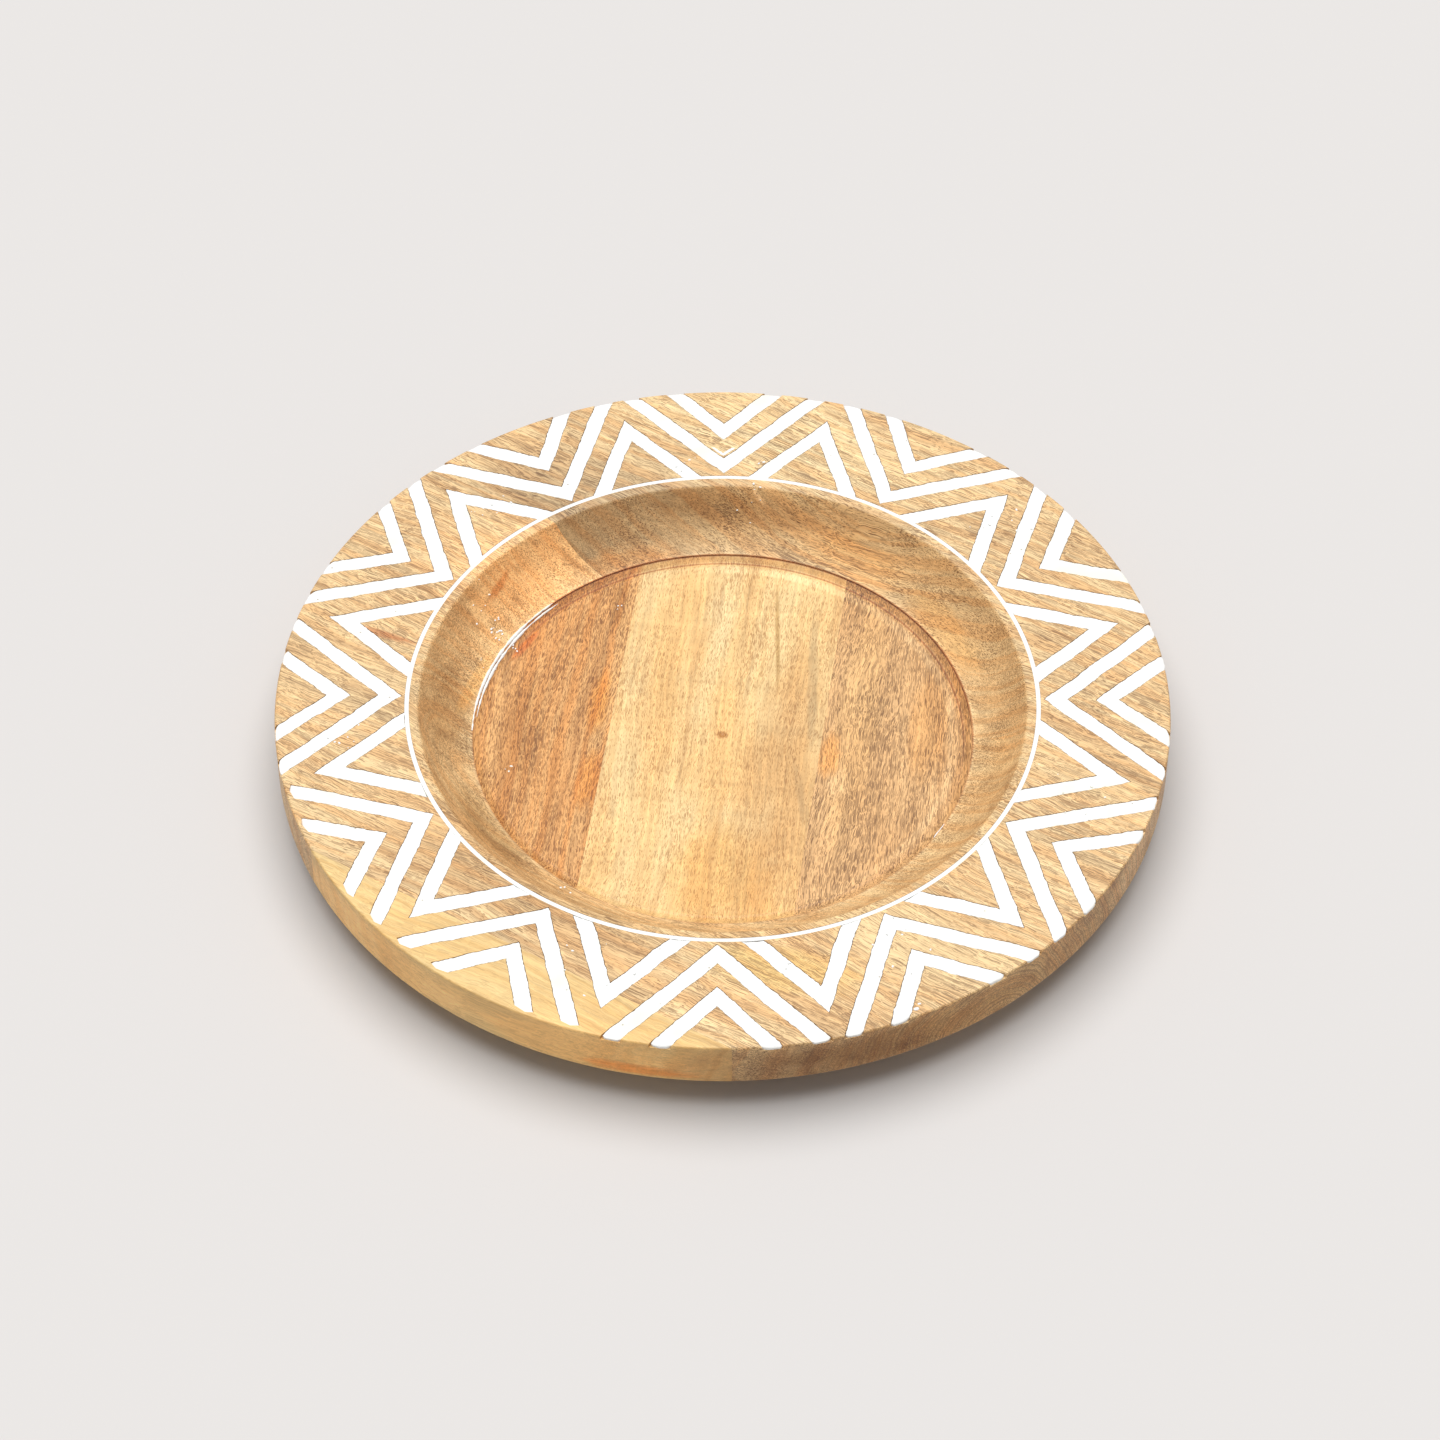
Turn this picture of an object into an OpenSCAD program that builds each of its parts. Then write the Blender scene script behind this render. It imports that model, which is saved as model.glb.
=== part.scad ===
// A wide-rimmed turned wooden bowl. An upper layer of three edge-glued boards carries the rim and the
// well's wall, and a lower layer of three boards closes the well and is the foot that the bowl stands on.
// The rim is carved with nested chevrons and tents, and the grooves are filled with white paint.
// The origin is the centre of the foot, on the surface that the bowl stands on, and +Z is up.

/* [Bowl] */
// Diameter across the rim
bowl_d = 300; // [240:5:360]
// Thickness of the upper layer, which is also the rim's thickness at its edge
rim_t = 17.5; // [14:0.5:24]
// Thickness of the lower layer
base_t = 12; // [8:0.5:18]
// Diameter of the foot, which is the lower layer's outer edge
foot_d = 200; // [190:2:220]
// Radius of the rim's upper arris
top_round = 0.8; // [0.4:0.1:2]
// Radius of the rim's lower edge
under_round = 3; // [1:0.5:5]

/* [Well] */
// Diameter of the floor at the seam between the two layers
floor_d = 169; // [150:1:175]
// How far the floor is turned down into the lower layer
floor_sink = 1.2; // [0.4:0.1:3]
// Width of the hollow that leads from the floor up to the seam
floor_cove = 3.5; // [2:0.5:6]
// Radius of the rounded lip between the rim and the wall
lip_round = 5; // [3:0.5:8]
// Steepness of the wall just under the lip, in degrees
wall_slope = 60; // [50:1:70]

/* [Boards] */
// Direction of the rim boards' grain, in degrees from +X
rim_grain = -31; // [-90:1:90]
// Distance of the back glue line from the centre, across the rim's grain
rim_back_joint = 41.5; // [20:0.5:80]
// Distance of the front glue line from the centre, across the rim's grain
rim_front_joint = -127; // [-135:0.5:-110]
// Direction of the base boards' grain, in degrees from +X
base_grain = 82.5; // [45:0.5:135]
// Distance of the left glue line from the centre, across the base's grain
base_left_joint = -38.5; // [-60:0.5:-20]
// Distance of the right glue line from the centre, across the base's grain
base_right_joint = 33.5; // [20:0.5:60]

/* [Carving] */
// Times that the pattern repeats round the rim
repeats = 12; // [10:1:12]
// Width of a carved groove
groove_w = 5.6; // [3:0.1:7]
// Depth of a carved groove
groove_depth = 1.6; // [0.8:0.1:2.5]
// How far the dried paint lies under the rim's surface
paint_recess = 0.3; // [0.1:0.1:0.6]
// Turn of the whole pattern about the bowl's axis, in degrees
pattern_turn = -0.8; // [-5:0.1:5]
// How far the repeats at the quarters pull away from the rest, in degrees
quarter_drift = 0.35; // [0:0.05:0.6]
// How far the pattern crowds towards one side, in degrees
side_drift = 0.3; // [0:0.05:0.6]

/* [Chevrons] */
// Where the outer chevron's two strokes meet, as a share of the rim's radius
outer_reach = 0.86; // [0.84:0.005:0.9]
// Half of the outer chevron's opening, in degrees
outer_spread = 42; // [36:1:44]
// Where the middle chevron's two strokes meet, as a share of the rim's radius
middle_reach = 0.745; // [0.74:0.005:0.77]
// Half of the middle chevron's opening, in degrees
middle_spread = 44; // [40:1:46]
// Where the tent's two strokes meet, as a share of the rim's radius
tent_reach = 0.893; // [0.87:0.005:0.9]
// Half of the tent's opening, in degrees
tent_spread = 29.5; // [26:0.5:32]

/* [Ring line] */
// Width of the ring line just outside the lip
ring_w = 1.55; // [1:0.05:3]
// Depth of the ring line
ring_depth = 0.8; // [0.4:0.1:1.5]
// Where the ring line's middle runs, as a share of the rim's radius
ring_reach = 0.706; // [0.7:0.002:0.72]

/* [Hidden] */
$fn = 96;
arc_steps = 4;
wall_steps = 9;
past = 10;
bowl_r = bowl_d / 2;
floor_r = floor_d / 2;
foot_r = foot_d / 2;
top_z = base_t + rim_t;
floor_z = base_t - floor_sink;
ring_in = ring_reach * bowl_r - ring_w / 2;
ring_out = ring_reach * bowl_r + ring_w / 2;
lip_r = ring_in - 0.1;
wall_top = [lip_r - lip_round * sin(wall_slope), top_z - lip_round * (1 - cos(wall_slope))];
wall_run = wall_top.x - floor_r;
wall_drop = wall_top.y - base_t;
wall_foot_slope = 2 * atan2(wall_drop, wall_run) - wall_slope;
wall_bend = norm([wall_run, wall_drop]) / (2 * sin((wall_slope - wall_foot_slope) / 2));

RIM_BOARDS = ["rim_board_back", "rim_board_middle", "rim_board_front"];
BASE_BOARDS = ["base_board_left", "base_board_centre", "base_board_right"];
function numbered(name) = [for (k = [1 : repeats]) str(name, k < 10 ? "_0" : "_", k)];
OUTER_CHEVRONS = numbered("outer_chevron");
MIDDLE_CHEVRONS = numbered("middle_chevron");
TENTS = numbered("tent");

// Points of an arc about a centre, from one angle to another
function arc(centre, r, from, to) =
    [for (i = [0 : arc_steps]) centre + r * [cos(from + (to - from) * i / arc_steps),
                                             sin(from + (to - from) * i / arc_steps)]];

// The hollow wall, from under the lip down to the seam: its slope eases at a steady rate
function wall_curve() =
    [for (i = [1 : wall_steps])
        let (slope = wall_slope - (wall_slope - wall_foot_slope) * i / wall_steps)
            wall_top - wall_bend * [sin(wall_slope) - sin(slope), cos(slope) - cos(wall_slope)]];

// The upper layer's section, from the seam round the underside, the edge, the top and the lip
function rim_section() = concat(
    [[floor_r, base_t]],
    arc([bowl_r - under_round, base_t + under_round], under_round, -90, 0),
    arc([bowl_r - top_round, top_z - top_round], top_round, 0, 90),
    arc([lip_r, top_z - lip_round], lip_round, 90, 90 + wall_slope),
    [for (p = wall_curve()) if (p.x > floor_r + 0.01) p]);

// The lower layer's section, with the sunk floor and the cove that leads up to the seam
function base_section() = concat(
    [[0, 0], [foot_r - under_round, 0]],
    arc([foot_r - under_round, under_round], under_round, -90, 0),
    [[foot_r, base_t], [floor_r, base_t]],
    [for (i = [1 : arc_steps]) let (a = 90 * i / arc_steps)
        [floor_r - floor_cove * sin(a), base_t - floor_sink + floor_sink * pow(1 - sin(a), 2)]],
    [[0, floor_z]]);

// Where a repeat sits round the rim: the first is at the back, and each drifts a little from its place
function drift(k) = quarter_drift * cos(120 * k) + side_drift * cos(30 * k - 10);
function chevron_angle(k) = 90 + 360 / repeats * k + pattern_turn + drift(k);
function tent_angle(k) = 90 + 360 / repeats * (k + 0.5) + pattern_turn + (drift(k) + drift(k + 1)) / 2;

// Outline of two strokes that meet on +Y at reach and run to end: outwards past the rim, or inwards
module strokes(reach, spread, end) {
    side = end > reach ? 1 : -1;
    mitre = groove_w / 2 / sin(spread);
    point = reach - side * mitre;
    crook = reach + side * mitre;
    far = abs(end - point) * tan(spread);
    near = abs(end - crook) * tan(spread);
    polygon([[0, point], [far, end], [near, end], [0, crook], [-near, end], [-far, end]]);
}

module outer_outline(k) {
    rotate(chevron_angle(k) - 90)
        strokes(outer_reach * bowl_r, outer_spread, bowl_r + past);
}

module middle_outline(k) {
    rotate(chevron_angle(k) - 90)
        strokes(middle_reach * bowl_r, middle_spread, bowl_r + past);
}

module tent_outline(k) {
    difference() {
        rotate(tent_angle(k) - 90)
            strokes(tent_reach * bowl_r, tent_spread, ring_out - past);
        circle(r = ring_out);
    }
}

// A carved outline, from the bottom of its groove to above the rim
module groove() {
    translate([0, 0, top_z - groove_depth]) linear_extrude(groove_depth + past) children();
}

// The paint in a carved outline: it fills the groove to just under the rim's surface
module paint() {
    color("white") intersection() {
        translate([0, 0, top_z - groove_depth]) linear_extrude(groove_depth - paint_recess) children();
        rim_blank();
    }
}

module rim_blank() {
    rotate_extrude() polygon(rim_section());
}

module base_blank() {
    rotate_extrude() polygon(base_section());
}

module ring_groove(depth) {
    rotate_extrude() translate([ring_in, top_z - ring_depth]) square([ring_w, depth]);
}

// The part of a blank between two glue lines, which lie at from and to across the grain
module board(grain, from, to) {
    intersection() {
        children();
        rotate(grain) translate([-bowl_d, from, -past]) cube([2 * bowl_d, to - from, top_z + 2 * past]);
    }
}

module rim_board(from, to) {
    difference() {
        board(rim_grain, from, to) rim_blank();
        ring_groove(ring_depth + past);
        groove() for (k = [0 : repeats - 1]) outer_outline(k);
        groove() for (k = [0 : repeats - 1]) middle_outline(k);
        groove() for (k = [0 : repeats - 1]) tent_outline(k);
    }
}

module rim_board_back() {
    color("burlywood") rim_board(rim_back_joint, bowl_d);
}

module rim_board_middle() {
    color("tan") rim_board(rim_front_joint, rim_back_joint);
}

module rim_board_front() {
    color("navajowhite") rim_board(-bowl_d, rim_front_joint);
}

// Across the base's grain, distances grow towards -X, so the left board lies on their far side
module base_board_left() {
    color("peru") board(base_grain, -base_left_joint, bowl_d) base_blank();
}

module base_board_centre() {
    color("khaki") board(base_grain, -base_right_joint, -base_left_joint) base_blank();
}

module base_board_right() {
    color("sandybrown") board(base_grain, -bowl_d, -base_right_joint) base_blank();
}

module ring_line() {
    color("white") ring_groove(ring_depth - paint_recess);
}

module outer_chevron(k) {
    paint() outer_outline(k);
}

module middle_chevron(k) {
    paint() middle_outline(k);
}

module tent(k) {
    paint() tent_outline(k);
}

rim_board_back();
rim_board_middle();
rim_board_front();
base_board_left();
base_board_centre();
base_board_right();
ring_line();
for (k = [0 : repeats - 1]) {
    outer_chevron(k);
    middle_chevron(k);
    tent(k);
}
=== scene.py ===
"""A wide-rimmed turned wooden bowl, carved with chevrons and tents that are filled with white paint."""

import math
import random

import bmesh
import bpy
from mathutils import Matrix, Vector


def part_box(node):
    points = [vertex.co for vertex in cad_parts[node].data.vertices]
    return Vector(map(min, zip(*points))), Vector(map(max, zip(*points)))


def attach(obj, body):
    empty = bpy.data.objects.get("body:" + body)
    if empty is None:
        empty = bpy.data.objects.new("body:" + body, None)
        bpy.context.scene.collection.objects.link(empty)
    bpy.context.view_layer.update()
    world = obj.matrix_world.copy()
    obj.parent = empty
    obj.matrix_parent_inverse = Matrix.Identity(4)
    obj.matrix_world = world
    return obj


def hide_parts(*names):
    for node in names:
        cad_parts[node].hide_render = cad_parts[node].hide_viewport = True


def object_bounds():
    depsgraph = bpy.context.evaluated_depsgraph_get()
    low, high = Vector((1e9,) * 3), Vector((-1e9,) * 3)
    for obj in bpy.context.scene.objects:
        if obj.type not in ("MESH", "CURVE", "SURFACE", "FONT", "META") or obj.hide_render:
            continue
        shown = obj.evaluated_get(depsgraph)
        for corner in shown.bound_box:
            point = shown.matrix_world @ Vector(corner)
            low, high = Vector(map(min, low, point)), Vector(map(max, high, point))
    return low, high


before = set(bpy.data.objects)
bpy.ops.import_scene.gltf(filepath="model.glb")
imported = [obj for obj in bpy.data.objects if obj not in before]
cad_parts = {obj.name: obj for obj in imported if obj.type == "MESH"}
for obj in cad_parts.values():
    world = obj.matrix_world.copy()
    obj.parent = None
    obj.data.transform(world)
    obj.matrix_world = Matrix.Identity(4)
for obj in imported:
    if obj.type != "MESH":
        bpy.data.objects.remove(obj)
CAD_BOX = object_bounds()

# ---- Sizes: metres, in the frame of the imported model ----

MM = 0.001
RIM_R = round(CAD_BOX[1].x, 4)
TOP_Z = CAD_BOX[1].z
LAYER_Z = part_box("rim_board_middle")[0].z
FOOT_R = -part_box("base_board_left")[0].x
RING_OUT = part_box("ring_line")[1].x
RING_WIDTH = 1.55 * MM
RING_IN = RING_OUT - RING_WIDTH
RING_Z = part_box("ring_line")[0].z
GROOVE_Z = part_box("outer_chevron_01")[0].z

FLOOR_R = 84.5 * MM
FLOOR_SINK = 1.2 * MM
FLOOR_Z = LAYER_Z - FLOOR_SINK
COVE = 3.5 * MM
COVE_DIP = 0.15 * MM
COVE_STEPS = 8
COVE_RIDGE = 0.12 * MM
RIDGE_START = 0.5 * MM
RIDGE_END = 0.9 * MM
RIDGE_FOOT = 1.6 * MM
CENTRE_MARK = 1.1 * MM
LIP_R = RING_IN - 0.1 * MM
LIP_ROUND = 5 * MM
LIP_STRIP = 2.2 * MM
LIP_DIP = 9
LIP_BEND = 1.8 * MM
WALL_SLOPE = math.radians(60)
WALL_TOP = (LIP_R - LIP_ROUND * math.sin(WALL_SLOPE), TOP_Z - LIP_ROUND * (1 - math.cos(WALL_SLOPE)))
TOP_ROUND = 0.8 * MM
UNDER_ROUND = 1.6 * MM
FOOT_ROUND = 3 * MM
SEAM_BREAK = 0.3 * MM
# How far a loop stands off from a round, which keeps the flat beside it flat.
HOLD = 0.08 * MM
TURNED_STEPS = 384
WALL_STEPS = 28
MERGE_REACH = 0.0005 * MM
POLE_REACH = 0.001 * MM
SHARP_ANGLE = math.radians(32)

RIM_GRAIN = -31
BASE_GRAIN = 82.5
RIM_JOINTS = (-127 * MM, 41.5 * MM)
BASE_JOINTS = (-33.5 * MM, 38.5 * MM)
SAW_LENGTH = 2.2 * RIM_R
PAST_RIM = 1.5 * RIM_R

REPEATS = 12
PATTERN_TURN = -0.8
QUARTER_DRIFT = 0.35
SIDE_DRIFT = 0.3
GROOVE_W = 5.6 * MM
CUT_PAST = 3 * MM
CUT_INTO_RING = 0.5 * MM
CUT_ROUND = 0.9 * MM
# Dried paint is narrower than its groove by the slack, and lies under the rim's surface by the recess.
PAINT_SLACK = 0.36 * MM
PAINT_ROUND = 0.6 * MM
PAINT_STOP = 0.1 * MM
PAINT_GAP = 0.05 * MM
PAINT_LIFT = 0.02 * MM
PAINT_RECESS = 0.1 * MM
PAINT_DISH = 0.2 * MM
RING_DISH = 0.12 * MM
PAINT_DROP = 0.5 * MM
PAINT_RAGGED = 0.24 * MM
STROKE_WOBBLE = 0.5 * MM
STROKE_ROWS = 181
PAINT_COLUMNS = 7
CUT_COLUMNS = 3
# The repeats whose strokes stop short of the rim's edge, and by how much.
SHORT_REPEATS = (4, 5)
STROKE_SHORT = 1.3 * MM
OUTWARDS = 1.0
INWARDS = -1.0
STROKES = {
    "outer_chevron": {"reach": 0.86, "spread": 42, "direction": OUTWARDS, "half_step": 0.0},
    "middle_chevron": {"reach": 0.745, "spread": 44, "direction": OUTWARDS, "half_step": 0.0},
    "tent": {"reach": 0.893, "spread": 29.5, "direction": INWARDS, "half_step": 0.5},
}


# ---- Nodes ----


def put(tree, kind, inputs=(), **settings):
    """Add a node to a tree. Inputs pair a socket's name or number with a value or another node's socket."""
    node = tree.nodes.new(kind)
    for name, value in settings.items():
        setattr(node, name, value)
    for key, value in dict(inputs).items():
        if isinstance(value, bpy.types.NodeSocket):
            tree.links.new(value, node.inputs[key])
        else:
            node.inputs[key].default_value = value
    return node


def maths(tree, operation, *values):
    """One sum on numbers or sockets."""
    return put(tree, "ShaderNodeMath", enumerate(values), operation=operation).outputs[0]


def vectors(tree, operation, *values):
    """One sum on vectors."""
    return put(tree, "ShaderNodeVectorMath", enumerate(values), operation=operation).outputs[0]


def scaled(tree, value, amount):
    """A vector made longer or shorter."""
    return put(tree, "ShaderNodeVectorMath", {0: value, "Scale": amount}, operation="SCALE").outputs[0]


def vector(tree, x, y, z):
    """A vector from three numbers or sockets."""
    return put(tree, "ShaderNodeCombineXYZ", {0: x, 1: y, 2: z}).outputs[0]


def parts_of(tree, value):
    """The three parts of a vector."""
    return put(tree, "ShaderNodeSeparateXYZ", {0: value}).outputs[:3]


def ramp(tree, value, low, high, from_value=0.0, to_value=1.0):
    """A soft step from one value to another as the input goes from low to high."""
    ends = {"Value": value, "From Min": low, "From Max": high, "To Min": from_value, "To Max": to_value}
    return put(tree, "ShaderNodeMapRange", ends, interpolation_type="SMOOTHSTEP").outputs[0]


def blend(tree, factor, first, second, mode="MIX"):
    """A mix of two colours."""
    inputs = {0: factor, 6: first, 7: second}
    return put(tree, "ShaderNodeMix", inputs, data_type="RGBA", blend_type=mode).outputs[2]


def noise(tree, place, stretch, detail):
    """Smooth noise from 0 to 1, with its own scale in each direction."""
    place = vectors(tree, "MULTIPLY", place, stretch)
    return put(tree, "ShaderNodeTexNoise", {"Vector": place, "Scale": 1.0, "Detail": detail}).outputs["Fac"]


def new_group(name, kind, inputs, outputs):
    """An empty node tree with named sockets, and its inputs by name."""
    tree = bpy.data.node_groups.new(name, kind)
    for label, socket in inputs.items():
        tree.interface.new_socket(name=label, in_out="INPUT", socket_type=socket)
    for label, socket in outputs.items():
        tree.interface.new_socket(name=label, in_out="OUTPUT", socket_type=socket)
    return tree, tree.nodes.new("NodeGroupInput").outputs


def give(tree, **results):
    """Join results to the tree's outputs, whose names are theirs with spaces and capitals."""
    out = tree.nodes.new("NodeGroupOutput")
    for name, value in results.items():
        tree.links.new(value, out.inputs[name.replace("_", " ").title()])


FLOAT = "NodeSocketFloat"
WHOLE = "NodeSocketInt"
VECTOR = "NodeSocketVector"
COLOUR = "NodeSocketColor"
GEOMETRY = "NodeSocketGeometry"
MATERIAL = "NodeSocketMaterial"


# ---- Wood and paint ----

# The sways of the grain, from the longest to the shortest, are (waves to the millimetre, share).
SWAYS = (((0.011, 0.021, 0.021), 1.0), ((0.045, 0.1, 0.1), 0.16), ((0.2, 0.3, 0.3), 0.08))
# The layers of pores are (pores to the millimetre across the grain, strength).
PORE_LAYERS = ((2.1, 1.0), (2.9, 1.0), (3.8, 0.9))
WOOD_ROUGHNESS = 0.46
WOOD_SHINE = 0.4
WOOD_BUMP = 0.5
END_BANDS = 0.42
PAINT_ROUGHNESS = 0.55
PAINT_BUMP = 0.3
BUMP_DEPTH = 0.1 * MM


def grain_group():
    """Mango wood through and through, about a board's own grain, from its rings down to its open pores."""
    tree, given = new_group(
        "Mango grain",
        "ShaderNodeTree",
        {
            "Vector": VECTOR, "Grain": FLOAT, "Heart": VECTOR, "Ring Width": FLOAT, "Wander": FLOAT,
            "Seed": FLOAT, "Pale": COLOUR, "Warm": COLOUR, "Dark": COLOUR, "Rings": FLOAT, "Clouds": FLOAT,
            "Streaks": FLOAT, "Fibres": FLOAT, "Pores": FLOAT, "Crowding": FLOAT, "Pore Length": FLOAT,
            "Curl": FLOAT, "Lines": FLOAT, "Turning": FLOAT,
        },
        {"Color": COLOUR, "Height": FLOAT, "Bands": FLOAT},
    )
    in_mm = scaled(tree, given["Vector"], 1 / MM)
    back = maths(tree, "MULTIPLY", given["Grain"], -1.0)
    spin = {"Vector": in_mm, "Angle": back}
    flat = put(tree, "ShaderNodeVectorRotate", spin, rotation_type="Z_AXIS").outputs[0]
    lie = vectors(tree, "ADD", flat, vector(tree, maths(tree, "MULTIPLY", given["Seed"], 613.0), 0.0, 0.0))
    for stretch, sway in SWAYS:
        waves = {"Vector": vectors(tree, "MULTIPLY", lie, stretch), "Scale": 1.0, "Detail": 1.0}
        waves = put(tree, "ShaderNodeTexNoise", waves).outputs["Color"]
        waves = vectors(tree, "SUBTRACT", waves, (0.5, 0.5, 0.5))
        sway = maths(tree, "MULTIPLY", given["Wander"], sway)
        lie = vectors(tree, "ADD", lie, vectors(tree, "MULTIPLY", waves, vector(tree, 0.0, sway, sway)))

    across = vectors(tree, "MULTIPLY", vectors(tree, "SUBTRACT", lie, given["Heart"]), (0.0, 1.0, 1.0))
    radius = put(tree, "ShaderNodeVectorMath", {0: across}, operation="LENGTH").outputs["Value"]
    ring = maths(tree, "DIVIDE", radius, given["Ring Width"])
    ring = put(tree, "ShaderNodeTexNoise", {"W": ring, "Scale": 1.0, "Detail": 3.0}, noise_dimensions="1D")
    ring = ramp(tree, ring.outputs["Fac"], 0.38, 0.66)
    colour = blend(tree, maths(tree, "MULTIPLY", ring, given["Rings"]), given["Pale"], given["Warm"])
    cloud = noise(tree, lie, (0.016, 0.05, 0.05), 3.0)
    cloud = maths(tree, "MULTIPLY", ramp(tree, cloud, 0.45, 0.68), given["Clouds"])
    colour = blend(tree, cloud, colour, given["Warm"])

    streak = ramp(tree, noise(tree, lie, (0.007, 0.2, 0.2), 3.0), 0.52, 0.7)
    colour = blend(tree, maths(tree, "MULTIPLY", streak, given["Streaks"]), colour, given["Dark"])
    fibre = noise(tree, lie, (0.03, 1.0, 1.0), 3.0)
    swing = maths(tree, "MULTIPLY", maths(tree, "SUBTRACT", fibre, 0.5), given["Fibres"])
    curl = maths(tree, "SUBTRACT", noise(tree, lie, (0.3, 0.035, 0.035), 1.0), 0.5)
    swing = maths(tree, "ADD", swing, maths(tree, "MULTIPLY", curl, given["Curl"]))
    swing = maths(tree, "SUBTRACT", 1.0, swing)
    colour = blend(tree, 1.0, colour, vector(tree, swing, swing, swing), "MULTIPLY")

    crowd = noise(tree, lie, (0.03, 0.09, 0.09), 2.0)
    crowd = maths(tree, "MULTIPLY", maths(tree, "SUBTRACT", crowd, 0.5), 0.45)
    crowd = maths(tree, "ADD", crowd, given["Crowding"])
    marks = 0.0
    for density, share in PORE_LAYERS:
        along = maths(tree, "DIVIDE", density, given["Pore Length"])
        spot = vectors(tree, "MULTIPLY", lie, vector(tree, along, density, density))
        cells = put(tree, "ShaderNodeTexVoronoi", {"Vector": spot, "Scale": 1.0}).outputs
        away = maths(tree, "SUBTRACT", cells["Distance"], crowd)
        share = ramp(tree, parts_of(tree, cells["Color"])[0], 0.0, 1.0, 0.45 * share, share)
        mark = maths(tree, "MULTIPLY", ramp(tree, away, 0.26, 0.35, 1.0, 0.0), share)
        marks = maths(tree, "MAXIMUM", marks, mark)
    line = ramp(tree, noise(tree, lie, (0.03, 2.2, 2.2), 2.0), 0.57, 0.64)
    line = maths(tree, "MULTIPLY", line, given["Lines"])
    marks = maths(tree, "MAXIMUM", maths(tree, "MULTIPLY", marks, given["Pores"]), line)
    colour = blend(tree, marks, colour, given["Dark"])
    height = maths(tree, "SUBTRACT", maths(tree, "MULTIPLY", fibre, 0.3), marks)
    level = vectors(tree, "MULTIPLY", in_mm, (1.0, 1.0, 0.0))
    level = put(tree, "ShaderNodeVectorMath", {0: level}, operation="LENGTH").outputs["Value"]
    lathe = {"W": level, "Scale": 1.1, "Detail": 3.0}
    turning = put(tree, "ShaderNodeTexNoise", lathe, noise_dimensions="1D")
    turning = maths(tree, "MULTIPLY", turning.outputs["Fac"], given["Turning"])
    height = maths(tree, "ADD", height, turning)
    bands = put(tree, "ShaderNodeTexNoise", {"W": radius, "Scale": 1.3, "Detail": 2.0}, noise_dimensions="1D")
    give(tree, color=colour, height=height, bands=ramp(tree, bands.outputs["Fac"], 0.46, 0.6))
    return tree


def patch_group():
    """A soft-edged, uneven oval: 1 inside and 0 outside."""
    tree, given = new_group(
        "Patch",
        "ShaderNodeTree",
        {"Vector": VECTOR, "Middle": VECTOR, "Turn": FLOAT, "Size": VECTOR, "Ragged": FLOAT},
        {"Mask": FLOAT},
    )
    away = vectors(tree, "SUBTRACT", given["Vector"], given["Middle"])
    back = maths(tree, "MULTIPLY", given["Turn"], -1.0)
    away = {"Vector": away, "Angle": back}
    away = put(tree, "ShaderNodeVectorRotate", away, rotation_type="Z_AXIS").outputs[0]
    away = vectors(tree, "DIVIDE", away, given["Size"])
    rough = put(tree, "ShaderNodeTexNoise", {"Vector": away, "Scale": 1.6, "Detail": 3.0}).outputs["Color"]
    rough = vectors(tree, "SUBTRACT", rough, (0.5, 0.5, 0.5))
    away = vectors(tree, "ADD", away, scaled(tree, rough, given["Ragged"]))
    reach = put(tree, "ShaderNodeVectorMath", {0: away}, operation="LENGTH").outputs["Value"]
    give(tree, mask=ramp(tree, reach, 0.35, 1.0, 1.0, 0.0))
    return tree


def ring_group():
    """A thin band about the seam, strongest on the side that it faces, and none underneath."""
    tree, given = new_group(
        "Ring band",
        "ShaderNodeTree",
        {"Vector": VECTOR, "Radius": FLOAT, "Half Width": FLOAT, "Facing": VECTOR, "Far Side": FLOAT},
        {"Mask": FLOAT},
    )
    flat = vectors(tree, "MULTIPLY", given["Vector"], (1.0, 1.0, 0.0))
    radius = put(tree, "ShaderNodeVectorMath", {0: flat}, operation="LENGTH").outputs["Value"]
    away = maths(tree, "ABSOLUTE", maths(tree, "SUBTRACT", radius, given["Radius"]))
    share = maths(tree, "DIVIDE", away, given["Half Width"])
    band = ramp(tree, share, 0.4, 1.0, 1.0, 0.0)
    unit = vectors(tree, "NORMALIZE", flat)
    turned_to = put(tree, "ShaderNodeVectorMath", {0: unit, 1: given["Facing"]}, operation="DOT_PRODUCT")
    near = ramp(tree, turned_to.outputs["Value"], -0.1, 0.6)
    rest = maths(tree, "MULTIPLY", maths(tree, "SUBTRACT", 1.0, near), given["Far Side"])
    band = maths(tree, "MULTIPLY", band, maths(tree, "ADD", near, rest))
    above = ramp(tree, parts_of(tree, given["Vector"])[2], FLOOR_Z - 4 * MM, FLOOR_Z - 2 * MM)
    give(tree, mask=maths(tree, "MULTIPLY", band, above))
    return tree


GRAIN_GROUP = grain_group()
PATCH_GROUP = patch_group()
RING_GROUP = ring_group()


def srgb(red, green, blue):
    """A colour given as a screen shows it, made linear."""
    parts = [x / 255 for x in (red, green, blue)]
    linear = [x / 12.92 if x <= 0.04045 else ((x + 0.055) / 1.055) ** 2.4 for x in parts]
    return (*linear, 1.0)


def group(tree, made, **inputs):
    """Place a shared group; an input's name is its socket's, with spaces and capitals."""
    node = put(tree, "ShaderNodeGroup", node_tree=made)
    for name, value in inputs.items():
        socket = node.inputs[name.replace("_", " ").title()]
        if isinstance(value, bpy.types.NodeSocket):
            tree.links.new(value, socket)
        else:
            socket.default_value = value
    return node.outputs


def new_material(name):
    """A material with only its surface shader, and the object's own coordinates."""
    material = bpy.data.materials.new(name)
    material.use_nodes = True
    tree = material.node_tree
    shader = tree.nodes["Principled BSDF"]
    where = put(tree, "ShaderNodeTexCoord").outputs
    return material, tree, shader, where


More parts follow.
